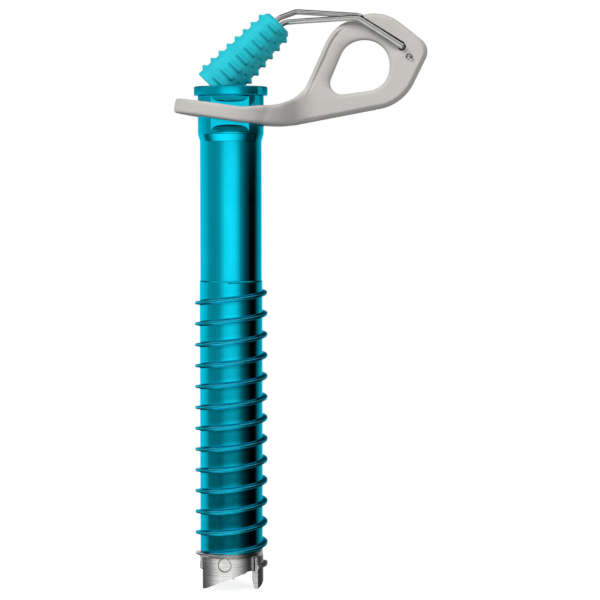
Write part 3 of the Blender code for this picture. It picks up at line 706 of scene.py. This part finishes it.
def hanger_throat():
    """The arm between ring and plate: rounded boxes that narrow and grow taller."""
    rings = []
    for x, half_width, low, high in spline(THROAT):
        edge = min(1.2, half_width * 0.4)
        ring = []
        for y, z, start in ((-1, low, 180), (1, low, 270), (1, high, 0), (-1, high, 90)):
            for part in range(5):
                turn = radians(start + 90 * part / 4)
                ring.append(Vector((x, y * (half_width - edge) + edge * cos(turn),
                                    z + (edge if z == low else -edge) + edge * sin(turn))))
        rings.append(ring)
    return loft("throat", rings, twisted=True)


def distance_to(outline, places):
    """Distance in the plate's plane from each place to the nearest side of an outline."""
    corners = np.array([(point.x, point.z) for point in outline])
    sides = np.roll(corners, -1, axis=0) - corners
    nearest = np.full(len(places), 1e9)
    for corner, side in zip(corners, sides):
        share = np.clip(((places - corner) @ side) / max(side @ side, 1e-9), 0, 1)
        nearest = np.minimum(nearest, np.hypot(*(places - corner - share[:, None] * side).T))
    return nearest


def eased(values, low, high):
    share = np.clip((values - low) / (high - low), 0, 1)
    return share * share * (3 - 2 * share)


def plate_relief(body):
    """Press the forged relief into both faces of the plate."""
    places = np.empty(len(body.data.vertices) * 3)
    body.data.vertices.foreach_get("co", places)
    places = places.reshape(-1, 3) / MM
    x, z = places[:, 0], places[:, 2]
    flat = places[:, (0, 2)]
    outer = distance_to(outline_of(PLATE_CORNERS), flat)
    inner = distance_to(outline_of(EYE_CORNERS), flat)
    # Bevel along the outline, broader below than above
    upper = eased(z - 150 - 0.6 * (x - 20), -2, 3)
    away = 1 - np.clip(outer / (1.5 - 0.6 * upper), 0, 1)
    depth = (1.10 - 0.35 * upper) * away + 0.45 * (1 - np.sqrt(1 - away * away))
    # Rounding of the eye's edge, broadest on the strut
    bar = (1 - eased(x, 34, 42)) * eased(z, 156, 161)
    away = 1 - np.clip(inner / (1.6 + 2.0 * bar), 0, 1)
    depth += (0.95 + 0.70 * bar) * (1 - np.sqrt(1 - away * away))
    # Hollow on the eye's side of the wire, which stops short of the wire's end
    offset = flat - np.array(LEG_BEND.xz)
    run, side = offset @ np.array(LEG_ALONG.xz), -offset @ np.array(LEG_OUTWARD.xz)
    hollow = 0.80 * eased(side, -1.0, -0.4) * (1 - eased(side, 1.8, 9.0))
    hollow *= 1 - eased(run, LEG_LENGTH - 3.0, LEG_LENGTH + 1.5)
    # Step and narrow groove along the strut
    fade = (1 - eased(x, 36, 43)) * eased(z, 154, 163)
    strut = 0.22 * eased(outer, 1.2, 1.8) + 0.45 * (1 - eased(np.abs(outer - 1.55), 0.15, 0.5))
    depth += np.maximum(hollow, strut * fade)
    half, deepest = PLATE_THICKNESS / 2, 1.7
    places[:, 1] *= 1 - np.minimum(depth, deepest) / half * eased(x, 21, 30)
    body.data.vertices.foreach_set("co", (places * MM).ravel())
    body.data.update()


def groove_cutter():
    """Narrow slot along the front wire leg, wider towards the leg's end."""
    corners = [LEG_BEND + LEG_OUTWARD * 0.45, LEG_BEND + LEG_OUTWARD * 1.25,
               LEG_END + LEG_OUTWARD * 1.55, LEG_END + LEG_OUTWARD * 0.45]
    return loft("groove", [[corner + Vector((0, y, 0)) for corner in corners]
                           for y in (-4.0, GROOVE_FLOOR)])


def hanger():
    half, pocket_radius = PLATE_THICKNESS / 2, 1.3
    body = slab("hanger_body", outline_of(PLATE_CORNERS), [(-half, 0), (half, 0)])
    combine(body, hanger_throat(), "UNION")
    combine(body, hanger_ring(), "UNION")
    eye = slab("eye", outline_of(EYE_CORNERS), [(-half - 2, 0), (half + 2, 0)])
    combine(body, eye, "DIFFERENCE")
    voxels = body.modifiers.new("even_mesh", "REMESH")
    voxels.mode, voxels.voxel_size = "VOXEL", 0.27 * MM
    soft = body.modifiers.new("soft", "SMOOTH")
    soft.factor, soft.iterations = 0.5, 3
    apply_modifiers(body)
    work = bmesh.new()
    work.from_mesh(body.data)
    throat = [vert for vert in work.verts if 8.0 < vert.co.x / MM < 29.0]
    for _ in range(14):
        bmesh.ops.smooth_vert(work, verts=throat, factor=0.5,
                              use_axis_x=True, use_axis_y=True, use_axis_z=True)
    work.to_mesh(body.data)
    work.free()
    plate_relief(body)
    combine(body, ring_hole(), "DIFFERENCE")
    combine(body, cross_hole("pivot_hole", PIVOT, WIRE_RADIUS + 0.25, -5, 5), "DIFFERENCE")
    combine(body, cross_hole("pocket", LEG_END, pocket_radius, -5, GROOVE_FLOOR), "DIFFERENCE")
    combine(body, groove_cutter(), "DIFFERENCE")
    finish(body, forged, "hanger", "hanger", slot="forged_aluminium", sharp=55)
    # Faces of the slot and of the pocket take the near-black material: painted shade for the
    # groove's shadow
    body.data.materials.append(painted_groove_shade)
    for face in body.data.polygons:
        middle = face.center / MM
        if -half + 0.1 < middle.y < GROOVE_FLOOR + 0.01 and middle.x > 38:
            offset = middle - LEG_BEND
            in_slot = (0.35 < offset.dot(LEG_OUTWARD) < 1.6
                       and -0.1 < offset.dot(LEG_ALONG) < LEG_LENGTH + 0.1)
            if in_slot or (middle - LEG_END).xz.length < pocket_radius + 0.02:
                face.material_index = 1


# ---------------------------------------------------------------- crank and knob
def wire_path():
    """From the pivot up the rear leg, round inside the knob and down the front leg."""
    across = Vector((-sin(GRIP_SLOPE), 0, cos(GRIP_SLOPE)))
    upper, lower = GRIP_START + across, GRIP_START - across
    inward, outward = GRIP_AXIS * 19.0, GRIP_AXIS * -1.2
    y, sideways = LEG_OFFSET, Vector((0, LEG_OFFSET, 0))
    return fillet([(PIVOT + Vector((0, -y + 0.6, 0)), 0), (PIVOT + sideways, 1.3),
                   (Vector((41.2, y, 182.7)), 4), (Vector((20.8, 0.35 * y, 183.75)), 3.5),
                   (upper + outward, 3.5), (upper + inward, 0.98), (lower + inward, 0.98),
                   (lower + outward, 3.5), (Vector((21.8, -0.35 * y, 180.6)), 3.5),
                   (LEG_BEND - sideways, 3.5), (LEG_END - sideways, 0)], closed=False)


def to_grip_axis(made):
    turn = Vector((0, 0, 1)).rotation_difference(GRIP_AXIS).to_matrix().to_4x4()
    made.data.transform(turn)
    made.data.transform(Matrix.Translation(GRIP_START * MM))
    return made


def grip_radius(distance):
    return GRIP_SMALL + (GRIP_LARGE - GRIP_SMALL) * distance / GRIP_LENGTH


def grip_skin(angle, distance):
    """Radius of the knob with its four columns of ribs and the dimples in two of them."""
    radius = grip_radius(distance)
    quarter = (angle + pi / 4) % (pi / 2) - pi / 4
    row = round((distance - RIB_FIRST) / RIB_PITCH)
    offset = distance - RIB_FIRST - RIB_PITCH * row
    if 0 <= row < RIB_COUNT:
        flank = min(1.0, max(0.0, 1.15 - abs(offset)) / 0.97)
        end = ease(radians(26) - abs(quarter), 0.0, radians(9))
        radius += RIB_HEIGHT * (0.4 * flank + 0.6 * ease(flank, 0.0, 1.0)) * end
        turn = (angle + pi / 4 + pi / 2) % pi - pi / 2
        radius -= 0.45 * ease(0.85 - hypot(turn * radius, offset), 0.0, 0.55)
    return radius


def grip_sleeve(steps=192, rows=220):
    chamfer, bore, washer_seat, cap_seat = 0.8, 3.3, 4.0, 5.7
    start, cap_low = grip_radius(0), GRIP_LENGTH - CAP_THICKNESS - GAP
    before = [(washer_seat, 1.2), (washer_seat, 0.05), (washer_seat + 0.05, 0.0),
              (start - chamfer - 0.05, 0), (start - chamfer + 0.05, 0.06),
              (start - 0.12, chamfer - 0.1)]
    after = [(GRIP_LARGE - 0.12, GRIP_LENGTH - 0.12), (GRIP_LARGE - 0.4, GRIP_LENGTH),
             (cap_seat + 0.05, GRIP_LENGTH), (cap_seat, GRIP_LENGTH - 0.05), (cap_seat, cap_low),
             (bore, cap_low), (bore, 1.2)]
    heights = [chamfer + (GRIP_LENGTH - chamfer * 1.5) * part / rows for part in range(rows + 1)]
    rings = []
    for step in range(steps):
        angle = AROUND * step / steps
        skin = [(grip_skin(angle, height), height) for height in heights]
        rings.append([polar(radius, angle, height) for radius, height in before + skin + after])
    sleeve = to_grip_axis(loft("knob", rings, closed=True))
    finish(sleeve, plastic, "knob", "grip_sleeve", slot="grip_plastic", sharp=50)


def crank_and_knob():
    wire = tube_along("wire", wire_path(), WIRE_RADIUS)
    finish(wire, spring, "crank", "crank_wire", slot="spring_wire")
    grip_sleeve()
    cap = disc_stack("knob_cap", [(5.4, GRIP_LENGTH - CAP_THICKNESS), (5.4, GRIP_LENGTH - 0.3),
                                  (5.3, GRIP_LENGTH - 0.1), (5.1, GRIP_LENGTH)], 128)
    finish(to_grip_axis(cap), plastic, "knob", "grip_end_cap", slot="grip_plastic")
    # Two pieces that hardly show keep the frame's own shapes
    for name in ("grip_core", "grip_washer"):
        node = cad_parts[name]
        for index in range(len(node.material_slots)):
            node.material_slots[index].material = spring


# ---------------------------------------------------------------- stage
def plain_material(name):
    made = bpy.data.materials.new(name)
    made.use_nodes = True
    made.node_tree.nodes.clear()
    return made, made.node_tree.nodes, made.node_tree.links


def stage_floor():
    """White floor under the teeth that takes a soft shadow and is nearly white by itself."""
    level, reach, steps, grey = -0.15, 240, 96, 0.80
    rings = [[polar(radius, AROUND * step / steps, level) for step in range(steps)]
             for radius in (1, reach)]
    floor = loft("floor", rings)
    made, nodes, links = plain_material("floor_white")
    diffuse, glow = nodes.new("ShaderNodeBsdfDiffuse"), nodes.new("ShaderNodeEmission")
    diffuse.inputs["Color"].default_value = (grey, grey, grey, 1)
    glow.inputs["Strength"].default_value = 0.80
    both, out = nodes.new("ShaderNodeAddShader"), nodes.new("ShaderNodeOutputMaterial")
    links.new(diffuse.outputs[0], both.inputs[0])
    links.new(glow.outputs[0], both.inputs[1])
    links.new(both.outputs[0], out.inputs["Surface"])
    floor.data.materials.append(made)
    floor.visible_glossy = floor.visible_diffuse = False


def stage_dome():
    """Light dome that only shows in metal: each direction round the object has its own level.

    Azimuth 0 is towards the camera and 90 to the right. Elevation is seen from the dome's centre.
    """
    centre, radius, steps = Vector((0, 0, 90)), 1500, 72
    rings = [[polar(radius * cos(radians(e)), AROUND * k / steps, radius * sin(radians(e)))
              for k in range(steps)]
             for e in (-89, -75, -60, -45, -30, -15, 0, 15, 30, 45, 60, 75, 89)]
    dome = loft("dome", rings)
    dome.location = centre * MM
    made, nodes, links = plain_material("dome_light")

    def math(operation, *values):
        step = nodes.new("ShaderNodeMath")
        step.operation = operation
        for socket, value in zip(step.inputs, values):
            if isinstance(value, (int, float)):
                socket.default_value = value
            else:
                links.new(value, socket)
        return step.outputs[0]

    def ramp(source, stops, low, high):
        """Level by direction: stops are (degrees, level) between two directions."""
        spread = nodes.new("ShaderNodeMapRange")
        spread.inputs["From Min"].default_value = radians(low)
        spread.inputs["From Max"].default_value = radians(high)
        links.new(source, spread.inputs["Value"])
        step = nodes.new("ShaderNodeValToRGB")
        elements = step.color_ramp.elements
        while len(elements) < len(stops):
            elements.new(0.5)
        for element, (degrees, level) in zip(elements, stops):
            element.position = (degrees - low) / (high - low)
            element.color = (level, level, level, 1)
        links.new(spread.outputs[0], step.inputs[0])
        return step.outputs[0]

    def across(*stops):
        return ramp(azimuth, stops, -180, 180)

    def upward(*stops):
        return ramp(elevation, stops, -90, 90)

    parts = nodes.new("ShaderNodeSeparateXYZ")
    links.new(nodes.new("ShaderNodeTexCoord").outputs["Object"], parts.inputs[0])
    x, y, z = parts.outputs
    azimuth = math("ARCTAN2", x, math("MULTIPLY", y, -1.0))
    elevation = math("ARCSINE", math("DIVIDE", z, radius * MM))
    # Levels round the object, each with its own fall from bottom to top
    left = math(
        "MULTIPLY",
        across((-112, 0.0), (-100, 0.22), (-90, 0.45), (-70, 0.42), (-54, 0.38), (-42, 0.16),
               (-30, 0.0)),
        upward((-27, 0.0), (-19, 0.25), (-15, 0.20), (-12.9, 0.22), (-11.2, 0.34), (-8.7, 0.56),
               (-7.2, 0.72), (-4.0, 1.0), (66, 1.0), (76, 0.1)))
    front = math(
        "MULTIPLY",
        across((-58, 0.0), (-44, 0.28), (-32, 0.78), (-20, 1.22), (0, 1.37), (16, 1.24), (28, 0.84),
               (40, 0.32), (56, 0.10), (76, 0.0)),
        upward((-27, 0.0), (-16, 0.04), (-12.9, 0.07), (-11.2, 0.10), (-9.6, 0.18), (-8.8, 0.26),
               (-7.1, 0.47), (-4.6, 0.84), (-3.3, 1.0), (2.9, 1.0), (3.4, 0.5), (3.9, 0.5),
               (4.4, 0.76), (5.2, 0.80), (8.5, 0.45), (14, 0.25), (66, 0.25), (76, 0.03)))
    back = math(
        "MULTIPLY",
        across((-180, 1.0), (-122, 0.96), (-100, 0.50), (-92, 0.10), (-84, 0.0), (102, 0.0),
               (110, 0.10), (128, 0.42), (152, 0.75), (180, 1.0)),
        upward((-60, 0.0), (-18, 0.0), (-15.2, 0.2), (-13.6, 0.8), (-9, 1.0), (3.8, 1.0),
               (4.3, 0.45), (10, 0.45), (18, 0.05)))
    # Light from below the horizon, for the steel crown
    low = math(
        "MULTIPLY",
        across((-180, 0.10), (-135, 0.10), (-109, 0.17), (-83, 0.38), (-60, 1.2), (-41, 1.5),
               (-4, 1.45), (14, 1.25), (32, 0.80), (52, 0.24), (66, 0.05), (85, 0.06), (100, 0.22),
               (115, 0.12), (130, 0.03), (180, 0.05)),
        upward((-66, 0.3), (-45, 0.7), (-30, 1.0), (-22, 0.9), (-19, 0.25), (-16.5, 0.02),
               (-15, 0.0)))
    # Narrow light that only the neck and the collar show
    side = math(
        "MULTIPLY",
        across((36, 0.0), (50, 0.12), (100, 0.12), (112, 0.0)),
        upward((3.2, 0.0), (3.8, 1.0), (8, 1.0), (12, 0.0)))
    level = math("ADD", left, front)
    for more in (back, low, side):
        level = math("ADD", level, more)
    above = math("MULTIPLY", upward((30, 0.0), (52, 1.0), (68, 1.0), (76, 0.0)),
                 across((-140, 0.0), (-110, 1.0), (110, 1.0), (140, 0.0)))
    below = upward((-66, 1.0), (-40, 0.0))
    floor = across((-180, 0.70), (-110, 0.60), (-80, 0.55), (40, 0.50), (110, 0.10), (150, 0.15),
                   (180, 0.70))
    for share, other in ((above, 0.95), (below, floor)):
        rest = math("MULTIPLY", level, math("SUBTRACT", 1.0, share))
        level = math("ADD", rest, math("MULTIPLY", share, other))
    glow, out = nodes.new("ShaderNodeEmission"), nodes.new("ShaderNodeOutputMaterial")
    links.new(level, glow.inputs["Strength"])
    links.new(glow.outputs[0], out.inputs["Surface"])
    dome.data.materials.append(made)
    for ray in ("camera", "diffuse", "transmission", "volume_scatter", "shadow"):
        setattr(dome, f"visible_{ray}", False)


def aimed(name, data, place, target):
    made = bpy.data.objects.new(name, data)
    made.location = place * MM
    made.rotation_euler = (target - place).to_track_quat("-Z", "Y").to_euler()
    bpy.context.scene.collection.objects.link(made)
    return made


def area_lamp(name, place, size, power):
    data = bpy.data.lights.new(name, "AREA")
    data.shape, data.size, data.size_y = "RECTANGLE", size * MM, size * MM
    data.energy = power
    lamp = aimed(name, data, Vector(place), Vector((20, 0, 120)))
    lamp.visible_glossy = False


def world_light():
    """White where a ray sees it straight, in a reflection or through glass; soft light else."""
    world = bpy.data.worlds.new("studio")
    bpy.context.scene.world = world
    world.use_nodes = True
    nodes, links = world.node_tree.nodes, world.node_tree.links
    nodes.clear()
    rays = nodes.new("ShaderNodeLightPath").outputs
    seen = rays["Is Camera Ray"]
    for kind in ("Is Glossy Ray", "Is Transmission Ray"):
        either = nodes.new("ShaderNodeMath")
        either.operation = "MAXIMUM"
        links.new(seen, either.inputs[0])
        links.new(rays[kind], either.inputs[1])
        seen = either.outputs[0]
    mix, out = nodes.new("ShaderNodeMixShader"), nodes.new("ShaderNodeOutputWorld")
    links.new(seen, mix.inputs[0])
    for slot, strength in ((1, 0.34), (2, 1.0)):
        sky = nodes.new("ShaderNodeBackground")
        sky.inputs["Color"].default_value = (1, 1, 1, 1)
        sky.inputs["Strength"].default_value = strength
        links.new(sky.outputs[0], mix.inputs[slot])
    links.new(mix.outputs[0], out.inputs["Surface"])


def camera():
    data = bpy.data.cameras.new("camera")
    data.lens, data.sensor_width = 122.3, 36.0
    data.clip_start, data.clip_end = 0.05, 20.0
    place, target = Vector((22, -650, 132)), Vector((22, 0, 92.2))
    bpy.context.scene.camera = aimed("camera", data, place, target)


screw_tube()
head_collar()
cutting_crown()
crown_pins()
hanger()
crank_and_knob()
stage_floor()
stage_dome()
world_light()
area_lamp("key", (-560, -640, 820), 450, 15.5)
area_lamp("fill", (700, -500, 300), 500, 3.2)
area_lamp("back", (200, 1000, 220), 500, 8.0)
camera()
bpy.context.scene.view_settings.view_transform = "Standard"
